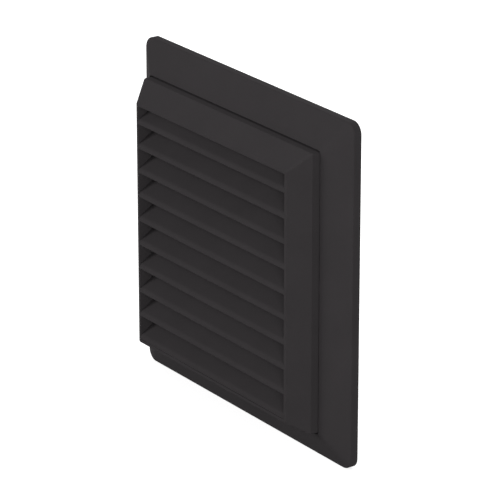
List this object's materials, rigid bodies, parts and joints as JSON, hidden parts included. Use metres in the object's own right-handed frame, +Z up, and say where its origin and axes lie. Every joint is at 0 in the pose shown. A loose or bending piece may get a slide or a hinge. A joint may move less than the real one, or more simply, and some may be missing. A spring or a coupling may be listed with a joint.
{
  "type": "round spigot grille",
  "caption": "Square black louvred wall grille with a sloping flange, a bevelled hood of fixed slats and a short round spigot that enters a duct behind the wall.",
  "frame": {"origin": "on the spigot's axis, in the plane of the wall that the plate's back edge rests on", "axes": "+Y along the spigot into the wall, so the louvred front faces -Y; +Z up as it is fixed, slats level along X"},
  "size_m": [0.15, 0.0401, 0.15],
  "materials": {
    "moulding": "fine matte texture, near-black"
  },
  "bodies": {
    "root": {"spigot_grille": "moulding"}
  },
  "joints": []
}
